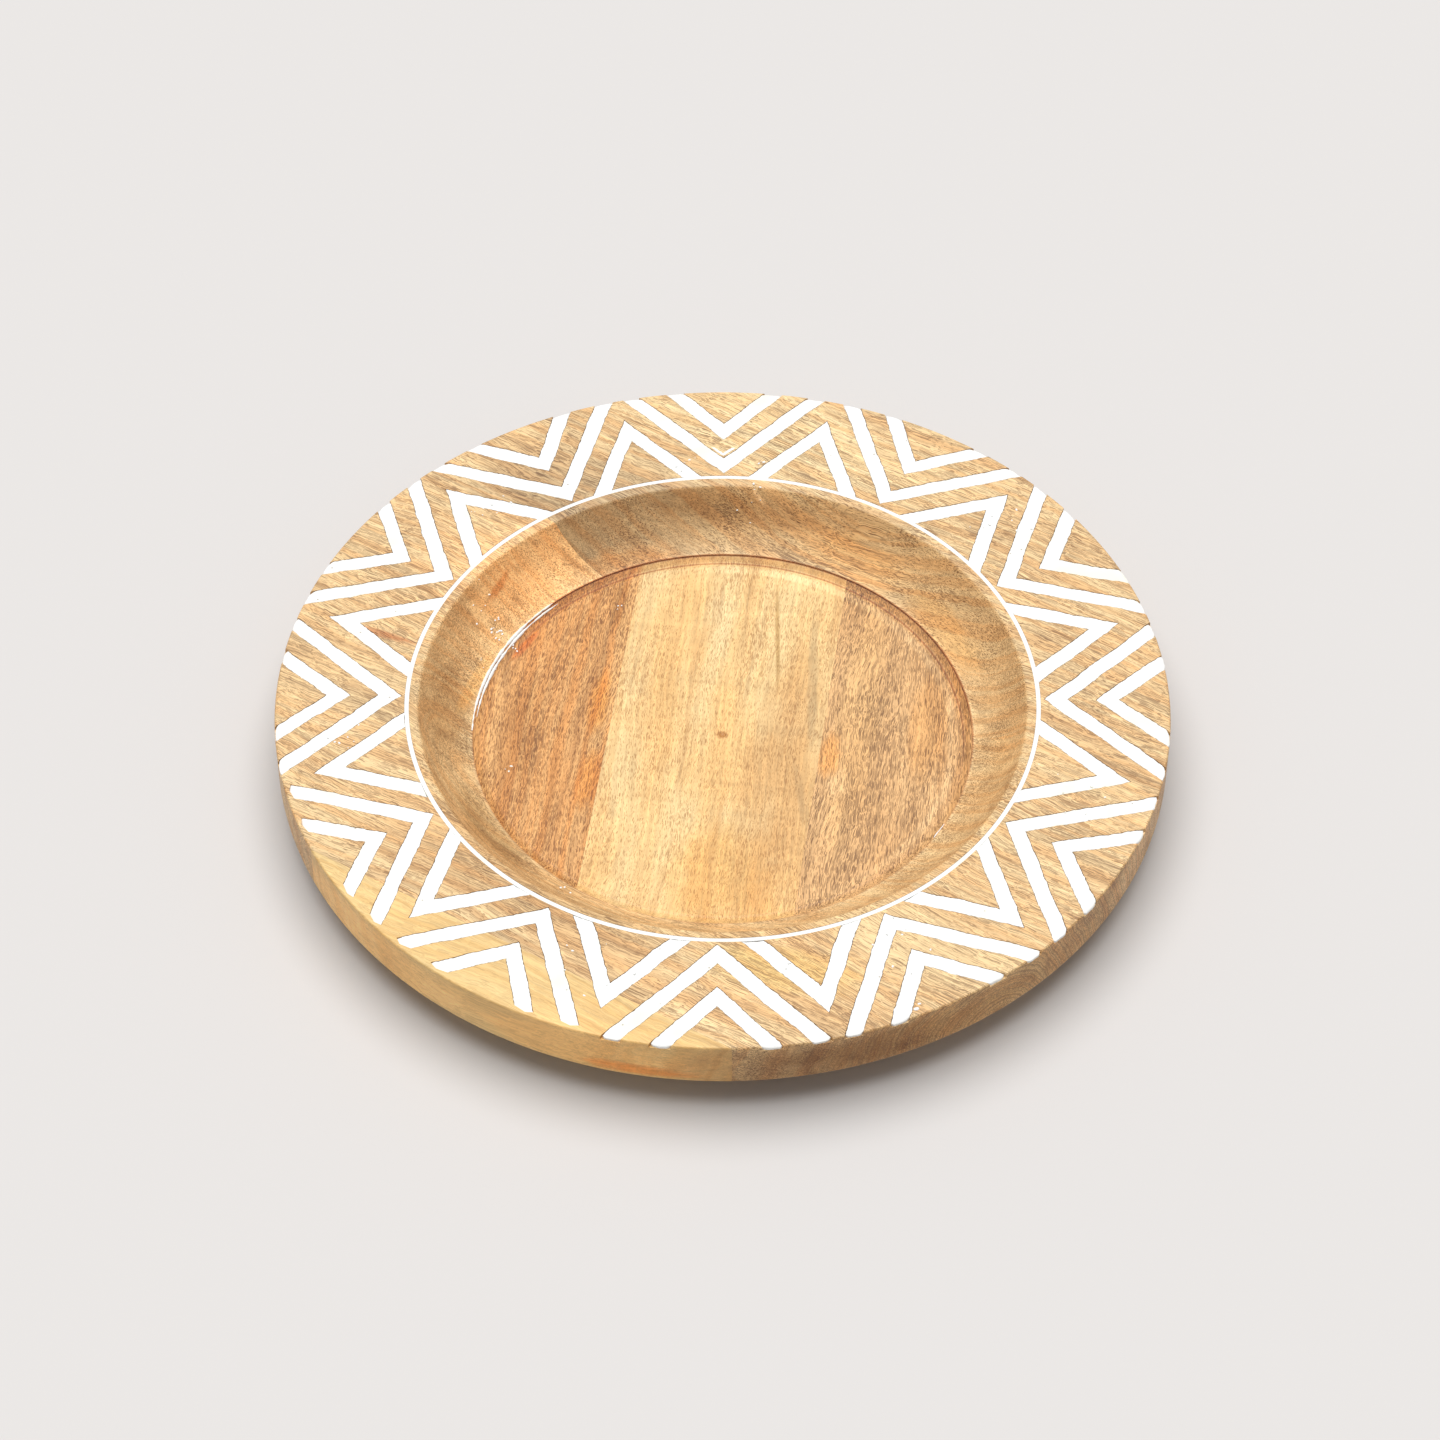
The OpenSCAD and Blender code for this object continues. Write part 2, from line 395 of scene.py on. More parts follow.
def wood(name, look):
    """Oiled mango wood for one board: its grain, its own patches and a few patches of painted light, its end
    grain, painted shade on sloping faces, and the seam bands of dark glue line, painted shade and a painted
    glint.
    """
    material, tree, shader, where = new_material(name)
    place = where["Object"]
    grain = math.radians(look["grain"])
    made = {key: look[key] for key in GRAIN_KEYS}
    made.update({key: srgb(*look[key]) for key in ("pale", "warm", "dark")})
    base = group(tree, GRAIN_GROUP, vector=place, **{**made, "grain": grain})
    colour = base["Color"]
    for middle, turn, size, tint in look["patches"]:
        spot = group(
            tree, PATCH_GROUP, vector=place, middle=[x * MM for x in middle], turn=math.radians(turn),
            size=[x * MM for x in size], ragged=0.9,
        )
        tinted = blend(tree, 1.0, colour, (*tint, 1.0), "MULTIPLY")
        colour = blend(tree, spot["Mask"], colour, tinted)
    along = (math.cos(grain), math.sin(grain), 0.0)
    facing = put(tree, "ShaderNodeVectorMath", {0: where["Normal"], 1: along}, operation="DOT_PRODUCT")
    end_grain = ramp(tree, maths(tree, "ABSOLUTE", facing.outputs["Value"]), 0.4, 0.85)
    upright = maths(tree, "ABSOLUTE", parts_of(tree, where["Normal"])[2])
    end_grain = maths(tree, "MULTIPLY", end_grain, ramp(tree, upright, 0.15, 0.5, 1.0, 0.0))
    # Painted shade: faces that slope or stand upright are darkened and warmed by the slope tint.
    slope = ramp(tree, upright, 0.7, 0.97, 1.0, 0.0)
    colour = blend(tree, slope, colour, blend(tree, 1.0, colour, SLOPE_SHADE_TINT, "MULTIPLY"))
    end = blend(tree, 1.0, colour, (*look["end_tint"], 1.0), "MULTIPLY")
    end = blend(tree, maths(tree, "MULTIPLY", base["Bands"], END_BANDS), end, srgb(*look["dark"]))
    colour = blend(tree, end_grain, colour, end)
    # The seam bands: the dark glue line with painted shade in the seam groove and the cove, and a painted
    # glint inside the cove.
    for radius, half_width, facing, far_side, tint in SEAM_SHADE_AND_GLINT_BANDS:
        band = group(
            tree, RING_GROUP, vector=place, radius=radius, half_width=half_width, facing=facing,
            far_side=far_side,
        )
        colour = blend(tree, band["Mask"], colour, blend(tree, 1.0, colour, (*tint, 1.0), "MULTIPLY"))
    tree.links.new(colour, shader.inputs["Base Color"])
    shader.inputs["Roughness"].default_value = WOOD_ROUGHNESS
    shader.inputs["Specular IOR Level"].default_value = WOOD_SHINE
    relief = {"Height": base["Height"], "Strength": WOOD_BUMP, "Distance": BUMP_DEPTH}
    bump = put(tree, "ShaderNodeBump", relief)
    tree.links.new(bump.outputs["Normal"], shader.inputs["Normal"])
    return material


def white_paint():
    """Thick dried white paint, with small pits, a little dust and faint cream clouds."""
    material, tree, shader, where = new_material("White paint")
    place = where["Object"]
    cloud = put(tree, "ShaderNodeTexNoise", {"Vector": place, "Scale": 60.0, "Detail": 2.0}).outputs["Fac"]
    cream = ramp(tree, cloud, 0.5, 0.8)
    colour = blend(tree, cream, srgb(246, 246, 244), srgb(244, 241, 226))
    pits = put(tree, "ShaderNodeTexVoronoi", {"Vector": place, "Scale": 260.0, "Randomness": 1.0})
    pit = ramp(tree, pits.outputs["Distance"], 0.03, 0.13, 1.0, 0.0)
    rare = ramp(tree, parts_of(tree, pits.outputs["Color"])[0], 0.8, 0.84)
    pit = maths(tree, "MULTIPLY", pit, rare)
    colour = blend(tree, maths(tree, "MULTIPLY", pit, 0.7), colour, srgb(150, 134, 108))
    tree.links.new(colour, shader.inputs["Base Color"])
    shader.inputs["Roughness"].default_value = PAINT_ROUGHNESS
    fine = put(tree, "ShaderNodeTexNoise", {"Vector": place, "Scale": 900.0, "Detail": 3.0}).outputs["Fac"]
    height = maths(tree, "SUBTRACT", maths(tree, "MULTIPLY", fine, 0.35), pit)
    relief = {"Height": height, "Strength": PAINT_BUMP, "Distance": BUMP_DEPTH}
    bump = put(tree, "ShaderNodeBump", relief)
    tree.links.new(bump.outputs["Normal"], shader.inputs["Normal"])
    return material


GRAIN_KEYS = (
    "grain", "heart", "ring_width", "wander", "seed", "pale", "warm", "dark", "rings", "clouds", "streaks",
    "fibres", "pores", "crowding", "pore_length", "curl", "lines", "turning",
)
# Painted shade: the tint that darkens and warms faces as they tilt away from level.
SLOPE_SHADE_TINT = (0.93, 0.88, 0.82, 1.0)
BACK_RIGHT = (0.3, 0.95, 0.0)
RIGHT = (0.92, 0.38, 0.0)

# Bands about the seam are (radius, half width, the side they face, strength on the far side, tint).
SEAM_SHADE_AND_GLINT_BANDS = (
    # The dark glue line, the cove band and the cove's step: partly their own colour, partly painted shade in
    # the seam groove and the cove.
    (FLOOR_R + 0.1 * MM, 0.5 * MM, BACK_RIGHT, 0.4, (0.6, 0.38, 0.24)),
    (FLOOR_R - 1.3 * MM, 1.6 * MM, BACK_RIGHT, 0.15, (0.84, 0.7, 0.52)),
    (FLOOR_R - 2.9 * MM, 0.5 * MM, BACK_RIGHT, 0.1, (0.66, 0.46, 0.32)),
    # A painted glint on the floor just inside the cove, on the right.
    (FLOOR_R - 6.2 * MM, 2.0 * MM, RIGHT, 0.0, (1.1, 1.17, 1.26)),
)

# Patches are (middle, turn, size, tint), in millimetres and degrees; a tint scales red, green and blue.
RIM_LOOK = {
    "grain": RIM_GRAIN, "heart": (0.0, -60.0, 8.0), "ring_width": 4.0, "wander": 14.0, "seed": 0.0,
    "pale": (246, 212, 158), "warm": (237, 186, 125), "dark": (112, 70, 38),
    "rings": 0.75, "clouds": 0.4, "streaks": 0.3, "fibres": 0.9, "pores": 0.75, "crowding": 0.02,
    "pore_length": 46.0, "curl": 0.0, "lines": 0.5, "turning": 0.8, "end_tint": (0.9, 0.84, 0.76),
    "patches": (),
}
BASE_LOOK = {
    **RIM_LOOK,
    "grain": BASE_GRAIN, "heart": (0.0, -40.0, -60.0), "ring_width": 6.0, "wander": 12.0, "pore_length": 10.0,
    "lines": 0.2,
}
WOODS = {
    "rim_back_wood": {
        **RIM_LOOK, "seed": 1.0, "pores": 0.78, "streaks": 0.15, "dark": (110, 68, 38), "lines": 0.3,
        "patches": (
            ((-50, 92, 20), 0, (66, 44, 30), (0.72, 0.71, 0.72)),
            ((4, 96, 23), -15, (56, 10, 8), (0.76, 0.68, 0.6)),
            ((-34, 80, 13), 10, (24, 8, 6), (1.25, 1.02, 0.8)),
            ((46, 80, 15), -40, (30, 14, 9), (1.16, 1.04, 0.88)),
            ((20, 128, 29), -31, (100, 26, 9), (1.1, 1.18, 1.24)),
            ((12, 100, 25), -40, (7, 1, 5), (1.4, 1.55, 1.8)),
            ((76, 44, 16), -60, (30, 9, 9), (1.0, 0.88, 0.72)),
        ),
    },
    "rim_middle_wood": {
        **RIM_LOOK, "seed": 2.0,
        "patches": (
            ((-70, 62, 20), 40, (60, 44, 30), (1.22, 1.16, 1.1)),
            ((-68, 66, 20), 40, (34, 22, 20), (1.22, 1.14, 1.06)),
            ((-77, 60, 21), 62, (11, 1.4, 8), (0.8, 0.6, 0.48)),
            ((-93, 4, 18), 80, (30, 12, 14), (0.78, 0.7, 0.62)),
            ((-84, 22, 15), 70, (22, 3, 8), (1.2, 1.1, 0.9)),
            ((-78, -48, 16), -60, (30, 14, 12), (0.74, 0.68, 0.6)),
            ((-115, 29, 29), -22, (18, 2.2, 6), (0.7, 0.46, 0.36)),
            ((20, -118, 29), -10, (34, 12, 8), (1.03, 1.02, 0.8)),
            ((60, -138, 20), -66, (60, 60, 9), (0.8, 0.72, 0.58)),
            ((30, -146, 18), 12, (48, 24, 14), (0.68, 0.62, 0.58)),
            # Painted light: the rim's outer edge on the left, brightened where the light falls on it.
            ((-146, -38, 20), 75, (40, 8, 12), (1.2, 1.3, 1.4)),
            # Painted light: the rim's outer edge on the right, brightened where the light falls on it.
            ((142, -56, 20), 68, (52, 10, 14), (1.24, 1.3, 1.4)),
            ((-62, -88, 29), -31, (74, 15, 8), (0.84, 0.79, 0.74)),
            ((100, -20, 16), -90, (40, 12, 12), (1.12, 1.08, 1.02)),
        ),
    },
    "rim_front_wood": {
        **RIM_LOOK, "seed": 3.0, "pale": (242, 208, 144), "warm": (234, 190, 120), "pores": 0.25,
        "fibres": 0.6, "streaks": 0.12, "lines": 0.1, "end_tint": (0.85, 0.75, 0.65),
        "patches": (
            ((-45, -143, 21), 0, (60, 20, 12), (1.24, 1.12, 1.0)),
            # Painted light: the front board's outer edge on the left, brightened where the light falls on it.
            ((-112, -98, 20), -45, (76, 30, 11), (1.3, 1.2, 1.12)),
            ((0, -150, 20), 0, (24, 8, 12), (0.85, 0.77, 0.72)),
            ((-30, -148, 16), 4, (34, 8, 3.2), (1.0, 0.66, 0.4)),
        ),
    },
    "base_left_wood": {
        **BASE_LOOK, "seed": 4.0, "pale": (234, 180, 116), "warm": (222, 150, 80), "dark": (122, 70, 32),
        "pores": 0.85, "crowding": 0.05,
        "patches": (
            ((-42, 16, 11), 82, (20, 4.5, 6), (1.08, 0.88, 0.56)),
            ((-45, -20, 11), 82, (18, 5, 6), (1.08, 0.86, 0.56)),
            ((-68, 42, 11), 58, (11, 2, 6), (0.95, 0.6, 0.42)),
            ((-36, 62, 11), 82, (18, 4, 6), (0.84, 0.8, 0.74)),
            ((-68, 0, 11), 82, (44, 9, 6), (0.86, 0.82, 0.76)),
        ),
    },
    "base_centre_wood": {
        **BASE_LOOK, "seed": 5.0, "pale": (246, 212, 152), "warm": (241, 191, 122), "dark": (164, 108, 58),
        "pores": 0.75, "crowding": -0.035, "curl": 0.3, "rings": 0.5, "clouds": 0.7, "lines": 0.12,
        "patches": (
            ((31, 30, 11), 88, (48, 2.2, 6), (0.8, 0.82, 0.86)),
            ((27, -32, 11), 98, (30, 2.2, 6), (0.82, 0.83, 0.86)),
            ((19, 46, 11), 90, (34, 1.0, 6), (0.66, 0.58, 0.46)),
            ((0, 0, 11), 0, (2.8, 2.2, 6), (0.6, 0.46, 0.36)),
            ((-2, 52, 11), 85, (22, 7, 6), (1.06, 1.12, 1.2)),
            ((0, -62, 11), 82, (30, 24, 6), (0.96, 0.83, 0.64)),
            ((20, -20, 11), 82, (80, 18, 6), (0.83, 0.78, 0.76)),
        ),
    },
    "base_right_wood": {
        **BASE_LOOK, "seed": 6.0, "pale": (235, 190, 134), "warm": (224, 170, 110), "dark": (110, 72, 42),
        "streaks": 0.15, "pores": 0.85, "crowding": 0.03, "pore_length": 16.0, "lines": 0.5,
        "patches": (
            ((36, -9, 11), 82, (14, 4.5, 6), (1.12, 0.92, 0.66)),
            ((39, -22, 11), 82, (9, 5, 6), (1.1, 1.16, 1.26)),
            ((70, 4, 11), 84, (34, 9, 6), (0.96, 0.84, 0.68)),
            ((46, 8, 11), 82, (80, 9, 6), (1.07, 1.08, 1.04)),
        ),
    },
}


# ---- Making pieces ----


def modifier_inputs(modifier, tree, values):
    """Set a Geometry Nodes modifier's inputs by their sockets' identifiers."""
    for item in tree.interface.items_tree:
        if item.in_out == "INPUT" and item.name in values:
            modifier[item.identifier] = values[item.name]


def grown(mesh, tree, values):
    """The plain mesh that a Geometry Nodes tree makes from a mesh."""
    helper = bpy.data.objects.new("helper", mesh)
    bpy.context.scene.collection.objects.link(helper)
    modifier = helper.modifiers.new("Nodes", "NODES")
    modifier.node_group = tree
    modifier_inputs(modifier, tree, values)
    return plain(helper)


def plain(helper):
    """The mesh of a helper object with its modifiers applied; the helper goes."""
    graph = bpy.context.evaluated_depsgraph_get()
    result = bpy.data.meshes.new_from_object(helper.evaluated_get(graph))
    helper.modifiers.clear()
    bpy.data.objects.remove(helper)
    return result


def combined(mesh, other, operation):
    """The mesh cut by, or kept inside, another closed mesh."""
    helper = bpy.data.objects.new("helper", mesh)
    tool = bpy.data.objects.new("tool", other)
    for thing in (helper, tool):
        bpy.context.scene.collection.objects.link(thing)
    modifier = helper.modifiers.new("Boolean", "BOOLEAN")
    modifier.operation = operation
    modifier.solver = "MANIFOLD"
    modifier.object = tool
    result = plain(helper)
    bpy.data.objects.remove(tool)
    return result


def joined(meshes):
    """Several meshes as one."""
    work = bmesh.new()
    for mesh in meshes:
        work.from_mesh(mesh)
    result = bpy.data.meshes.new("joined")
    work.to_mesh(result)
    work.free()
    return result


def finish(name, mesh, material, nodes=()):
    """A finished piece that rides on the bowl, stands for its nodes and is smooth between its edges."""
    work = bmesh.new()
    work.from_mesh(mesh)
    bmesh.ops.remove_doubles(work, verts=work.verts, dist=MERGE_REACH)
    bmesh.ops.dissolve_degenerate(work, edges=work.edges, dist=MERGE_REACH)
    bmesh.ops.recalc_face_normals(work, faces=work.faces)
    work.to_mesh(mesh)
    work.free()
    mesh.materials.clear()
    mesh.materials.append(material)
    mesh.polygons.foreach_set("material_index", [0] * len(mesh.polygons))
    mesh.shade_smooth()
    mesh.set_sharp_from_angle(angle=SHARP_ANGLE)
    piece = bpy.data.objects.new(name, mesh)
    bpy.context.scene.collection.objects.link(piece)
    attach(piece, "root")
    if nodes:
        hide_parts(*nodes)
    return piece


def made_of(tree, geometry, material):
    """The end of every geometry tree: real geometry that has its material."""
    real = put(tree, "GeometryNodeRealizeInstances", {"Geometry": geometry}).outputs[0]
    return put(tree, "GeometryNodeSetMaterial", {"Geometry": real, "Material": material}).outputs[0]


# ---- Turned blanks ----


def turned_tree():
    """A turned solid: the vertices that it is given are half of a section, and it carries them round +Z."""
    tree, given = new_group(
        "Turned solid",
        "GeometryNodeTree",
        {"Section": GEOMETRY, "Steps": WHOLE, "Closed": WHOLE, "Material": MATERIAL},
        {"Geometry": GEOMETRY},
    )
    size = put(tree, "GeometryNodeAttributeDomainSize", {"Geometry": given["Section"]}, component="MESH")
    count = size.outputs["Point Count"]
    rows = maths(tree, "ADD", count, given["Closed"])
    around = maths(tree, "ADD", given["Steps"], 1.0)
    sheet = {"Size X": 1.0, "Size Y": 1.0, "Vertices X": around, "Vertices Y": rows}
    sheet = put(tree, "GeometryNodeMeshGrid", sheet)
    u, v, _ = parts_of(tree, put(tree, "GeometryNodeInputPosition").outputs[0])
    last = maths(tree, "SUBTRACT", rows, 1.0)
    step = maths(tree, "ROUND", maths(tree, "MULTIPLY", maths(tree, "ADD", v, 0.5), last))
    step = maths(tree, "MODULO", step, count)
    place = put(tree, "GeometryNodeInputPosition").outputs[0]
    point = put(tree, "GeometryNodeSampleIndex", (), data_type="FLOAT_VECTOR")
    tree.links.new(given["Section"], point.inputs["Geometry"])
    tree.links.new(place, point.inputs["Value"])
    tree.links.new(step, point.inputs["Index"])
    radius, _, height = parts_of(tree, point.outputs[0])
    angle = maths(tree, "MULTIPLY", u, 2 * math.pi)
    x = maths(tree, "MULTIPLY", radius, maths(tree, "COSINE", angle))
    y = maths(tree, "MULTIPLY", radius, maths(tree, "SINE", angle))
    spun = {"Geometry": sheet.outputs["Mesh"], "Position": vector(tree, x, y, height)}
    spun = put(tree, "GeometryNodeSetPosition", spun)
    closed = {"Geometry": spun.outputs[0], "Distance": POLE_REACH}
    closed = put(tree, "GeometryNodeMergeByDistance", closed).outputs[0]
    give(tree, geometry=made_of(tree, closed, given["Material"]))
    return tree


def arc(centre, radius, start, end, steps):
    """Points of a section's arc, from one angle in degrees to another."""
    angles = [math.radians(start + (end - start) * i / steps) for i in range(steps + 1)]
    return [(centre[0] + radius * math.cos(a), centre[1] + radius * math.sin(a)) for a in angles]


def wall_points():
    """The hollow wall from under the lip down to the seam: its slope eases at a steady rate."""
    run = WALL_TOP[0] - FLOOR_R
    drop = WALL_TOP[1] - LAYER_Z
    foot_slope = 2 * math.atan2(drop, run) - WALL_SLOPE
    bend = math.hypot(run, drop) / (2 * math.sin((WALL_SLOPE - foot_slope) / 2))
    points = []
    for i in range(1, WALL_STEPS + 1):
        slope = WALL_SLOPE - (WALL_SLOPE - foot_slope) * i / WALL_STEPS
        out = WALL_TOP[0] - bend * (math.sin(WALL_SLOPE) - math.sin(slope))
        up = WALL_TOP[1] - bend * (math.cos(slope) - math.cos(WALL_SLOPE))
        points.append((out, up))
    return points


def lip_points():
    """A narrow strip that dips a little, then a tight bend into the wall."""
    start = (LIP_R - LIP_STRIP, TOP_Z - LIP_STRIP * math.tan(math.radians(LIP_DIP)))
    bend = arc((0.0, 0.0), LIP_BEND, 90 + LIP_DIP, 90 + math.degrees(WALL_SLOPE), 8)
    shift = (start[0] - bend[0][0], start[1] - bend[0][1])
    bend = [(x + shift[0], z + shift[1]) for x, z in bend]
    return [*bend, WALL_TOP]


def rim_section():
    """The upper layer: underside, edge, top with the ring groove, lip and wall."""
    under = (RIM_R - UNDER_ROUND, LAYER_Z + UNDER_ROUND)
    over = (RIM_R - TOP_ROUND, TOP_Z - TOP_ROUND)
    return [
        (FLOOR_R + SEAM_BREAK, LAYER_Z),
        (FOOT_R, LAYER_Z),
        (under[0] - HOLD, LAYER_Z),
        *arc(under, UNDER_ROUND, -90, 0, 6),
        (RIM_R, under[1] + HOLD),
        (RIM_R, over[1] - HOLD),
        *arc(over, TOP_ROUND, 0, 90, 6),
        (over[0] - HOLD, TOP_Z),
        (RING_OUT + HOLD, TOP_Z),
        (RING_OUT, TOP_Z),
        (RING_OUT, RING_Z),
        (RING_IN, RING_Z),
        (RING_IN, TOP_Z),
        (LIP_R, TOP_Z - 0.03 * MM),
        *lip_points(),
        *wall_points()[:-1],
        (FLOOR_R + 0.05 * MM, LAYER_Z + SEAM_BREAK),
    ]


def base_section():
    """The lower layer: foot, edge, the cove under the seam and the floor."""
    turn = (FOOT_R - FOOT_ROUND, FOOT_ROUND)
    cove = []
    for i in range(1, COVE_STEPS + 1):
        a = math.radians(90 * i / COVE_STEPS)
        rise = (LAYER_Z - FLOOR_Z) * (1 - math.sin(a)) ** 2
        cove.append((FLOOR_R - COVE * math.sin(a), FLOOR_Z - COVE_DIP + rise + COVE_DIP * (1 - math.sin(a))))
    return [
        (0.0, 0.0),
        (turn[0] - HOLD, 0.0),
        *arc(turn, FOOT_ROUND, -90, 0, 6),
        (FOOT_R, turn[1] + HOLD),
        (FOOT_R, LAYER_Z),
        (FLOOR_R + SEAM_BREAK, LAYER_Z),
        (FLOOR_R, LAYER_Z - SEAM_BREAK * 0.5),
        *cove,
        (FLOOR_R - COVE - RIDGE_START, FLOOR_Z + COVE_RIDGE),
        (FLOOR_R - COVE - RIDGE_END, FLOOR_Z + COVE_RIDGE),
        (FLOOR_R - COVE - RIDGE_FOOT, FLOOR_Z),
        (FLOOR_R - COVE - RIDGE_FOOT - HOLD, FLOOR_Z),
        (CENTRE_MARK, FLOOR_Z),
        (0.7 * CENTRE_MARK, FLOOR_Z - 0.25 * CENTRE_MARK),
        (0.0, FLOOR_Z - 0.4 * CENTRE_MARK),
    ]


def turned(section, closed, material):
    """A blank turned from a section."""
    mesh = bpy.data.meshes.new("section")
    mesh.from_pydata([(x, 0.0, z) for x, z in section], [], [])
    return grown(mesh, TURNED_TREE, {"Steps": TURNED_STEPS, "Closed": int(closed), "Material": material})


def slab(grain, start, end):
    """A tall box along the grain, between two glue lines."""
    work = bmesh.new()
    bmesh.ops.create_cube(work, size=1.0)
    cosine = math.cos(math.radians(grain))
    sine = math.sin(math.radians(grain))
    for vertex in work.verts:
        along = vertex.co.x * SAW_LENGTH
        across = end if vertex.co.y > 0 else start
        up = vertex.co.z * 4 * TOP_Z + TOP_Z / 2
        vertex.co = (along * cosine - across * sine, along * sine + across * cosine, up)
    mesh = bpy.data.meshes.new("slab")
    work.to_mesh(mesh)
    work.free()
    return mesh


# ---- Carved strokes ----


def stroke_tree():
    """A bent stroke: two arms from a mitre on +Y, out to the rim's edge or in to the ring, then turned."""
    tree, given = new_group(
        "Bent stroke",
        "GeometryNodeTree",
        {
            "Reach": FLOAT, "Spread": FLOAT, "Width": FLOAT, "Direction": FLOAT, "End Radius": FLOAT,
            "End Round": FLOAT, "Turn": FLOAT, "Bottom": FLOAT, "Top": FLOAT, "Dish": FLOAT,
            "End Drop": FLOAT, "Wobble": FLOAT, "Ragged": FLOAT, "Rows": WHOLE, "Columns": WHOLE,
            "Material": MATERIAL,
        },
        {"Geometry": GEOMETRY},
    )
    counts = {"Vertices X": given["Rows"], "Vertices Y": given["Columns"], "Vertices Z": 2}
    block = put(tree, "GeometryNodeMeshCube", {"Size": (2.0, 1.0, 1.0), **counts}).outputs["Mesh"]
    u, v, w = parts_of(tree, put(tree, "GeometryNodeInputPosition").outputs[0])
    run = maths(tree, "ABSOLUTE", u)
    sine = maths(tree, "SINE", given["Spread"])
    cosine = maths(tree, "COSINE", given["Spread"])
    aim = given["Direction"]

    start = maths(tree, "DIVIDE", maths(tree, "MULTIPLY", v, given["Width"]), sine)
    start = maths(tree, "ADD", given["Reach"], start)
    edge = maths(tree, "POWER", maths(tree, "ABSOLUTE", maths(tree, "MULTIPLY", v, 2.0)), 4.0)
    short = maths(tree, "MULTIPLY", maths(tree, "MULTIPLY", edge, given["End Round"]), aim)
    end = maths(tree, "SUBTRACT", given["End Radius"], short)
    aside = maths(tree, "MULTIPLY", start, sine)
    root = maths(tree, "MULTIPLY", end, end)
    root = maths(tree, "SQRT", maths(tree, "SUBTRACT", root, maths(tree, "MULTIPLY", aside, aside)))
    length = maths(tree, "SUBTRACT", root, maths(tree, "MULTIPLY", start, cosine))
    length = maths(tree, "MULTIPLY", length, aim)
    x = maths(tree, "MULTIPLY", maths(tree, "MULTIPLY", u, length), sine)
    y = maths(tree, "MULTIPLY", maths(tree, "MULTIPLY", run, length), maths(tree, "MULTIPLY", cosine, aim))
    y = maths(tree, "ADD", start, y)

    hollow = maths(tree, "MULTIPLY", maths(tree, "SUBTRACT", 1.0, edge), given["Dish"])
    fall = maths(tree, "MULTIPLY", maths(tree, "POWER", run, 50.0), given["End Drop"])
    top = maths(tree, "SUBTRACT", maths(tree, "SUBTRACT", given["Top"], hollow), fall)
    lift = maths(tree, "MULTIPLY", maths(tree, "ADD", w, 0.5), maths(tree, "SUBTRACT", top, given["Bottom"]))
    z = maths(tree, "ADD", given["Bottom"], lift)
    place = {"Vector": vector(tree, x, y, z), "Angle": given["Turn"]}
    place = put(tree, "ShaderNodeVectorRotate", place, rotation_type="Z_AXIS").outputs[0]

    flat = vectors(tree, "MULTIPLY", place, (1.0, 1.0, 0.0))
    wobble = given["Wobble"]
    coarse = ((70.0, wobble, 1.0), (190.0, wobble, 0.7), (420.0, wobble, 0.45))
    for scale, amount, share in (*coarse, (1000.0, given["Ragged"], 1.0)):
        waves = {"Vector": flat, "Scale": scale, "Detail": 1.0}
        waves = put(tree, "ShaderNodeTexNoise", waves).outputs["Color"]
        waves = vectors(tree, "MULTIPLY", vectors(tree, "SUBTRACT", waves, (0.5, 0.5, 0.5)), (2.0, 2.0, 0.0))
        waves = scaled(tree, waves, maths(tree, "MULTIPLY", amount, share))
        place = vectors(tree, "ADD", place, waves)
    shaped = put(tree, "GeometryNodeSetPosition", {"Geometry": block, "Position": place}).outputs[0]
    give(tree, geometry=made_of(tree, shaped, given["Material"]))
    return tree


def drift(k):
    """How far a repeat has strayed from its even place round the rim, in degrees."""
    return QUARTER_DRIFT * math.cos(math.radians(120 * k)) + SIDE_DRIFT * math.cos(math.radians(30 * k - 10))


def stroke_turn(k, half_step):
    """The turn that carries a stroke from +Y to its place, in degrees."""
    stray = (drift(k) + drift(k + 1)) / 2 if half_step else drift(k)
    return 360 / REPEATS * (k + half_step) + PATTERN_TURN + stray


def stroke(kind, k, **shape):
    """The mesh of one carved stroke, or of the paint in it."""
    plan = STROKES[kind]
    values = {
        "Reach": plan["reach"] * RIM_R,
        "Spread": math.radians(plan["spread"]),
        "Direction": plan["direction"],
        "Turn": math.radians(stroke_turn(k, plan["half_step"])),
        "Rows": STROKE_ROWS,
        "Wobble": STROKE_WOBBLE,
        **shape,
    }
    return grown(bpy.data.meshes.new("stroke"), STROKE_TREE, values)


def cut_stroke(kind, k):
    """The groove of a stroke: out past the rim's edge, or just short of it, or in to the ring line."""
    outwards = STROKES[kind]["direction"] == OUTWARDS
    short = outwards and k in SHORT_REPEATS
    end = RIM_R + CUT_PAST if outwards else RING_OUT - CUT_INTO_RING
    return stroke(
        kind, k,
        **{
            "Width": GROOVE_W, "End Radius": RIM_R - STROKE_SHORT if short else end,
            "End Round": CUT_ROUND if short else 0.0, "Bottom": GROOVE_Z, "Top": TOP_Z + CUT_PAST,
            "Dish": 0.0, "End Drop": 0.0, "Ragged": 0.0, "Columns": CUT_COLUMNS,
        },
    )


